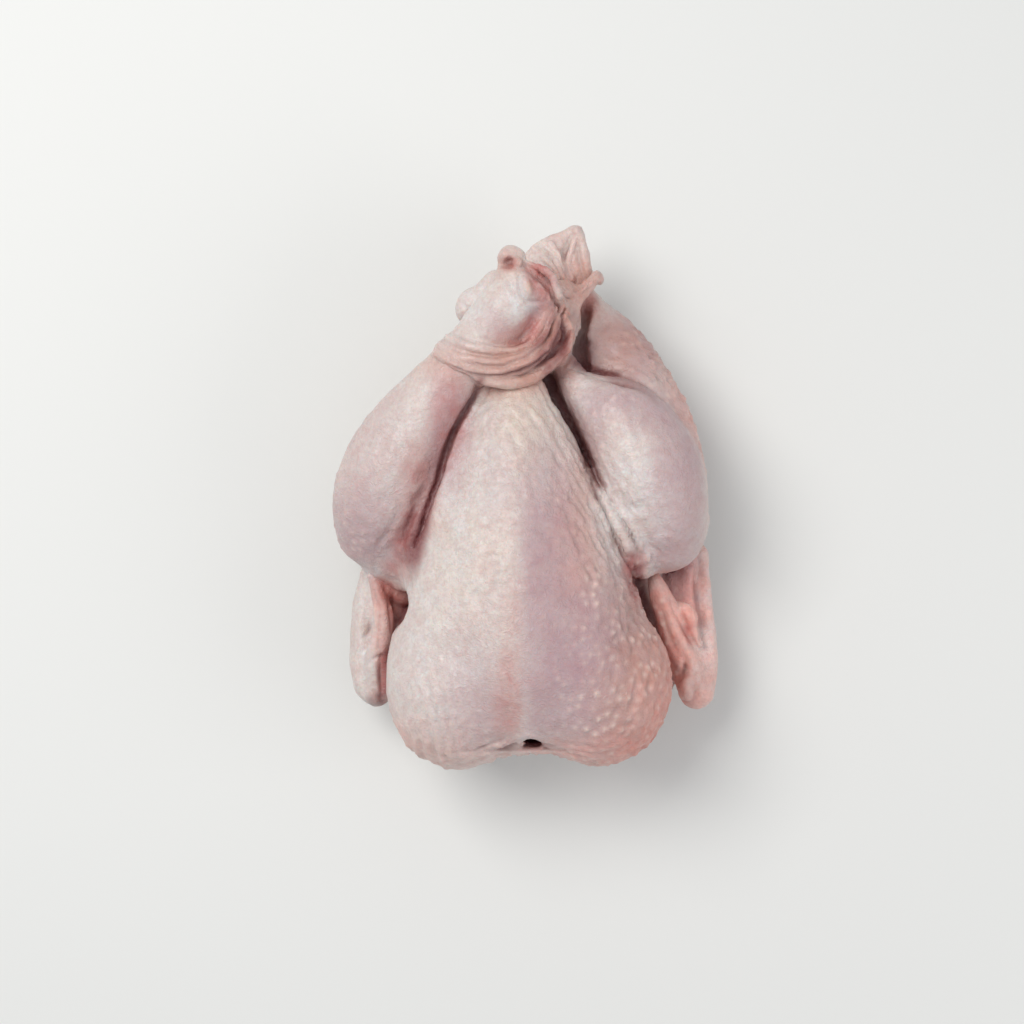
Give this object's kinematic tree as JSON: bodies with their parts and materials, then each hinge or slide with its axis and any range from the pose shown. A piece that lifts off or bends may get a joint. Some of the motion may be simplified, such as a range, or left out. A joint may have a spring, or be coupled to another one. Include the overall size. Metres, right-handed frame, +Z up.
{
  "type": "whole raw chicken",
  "caption": "Whole plucked raw chicken on its back, breast up, legs crossed and tucked under a strap of skin, wings folded at the sides, tail at one end.",
  "frame": {"origin": "on the surface that the bird lies on, under the middle of its box", "axes": "+Z up through the breast, +Y to the tail and the hocks, -Y to the neck end, -X to the bird's left side"},
  "size_m": [0.1708, 0.2382, 0.1043],
  "materials": {
    "skin": "satin"
  },
  "bodies": {
    "root": {"whole_chicken": "skin"}
  },
  "joints": []
}
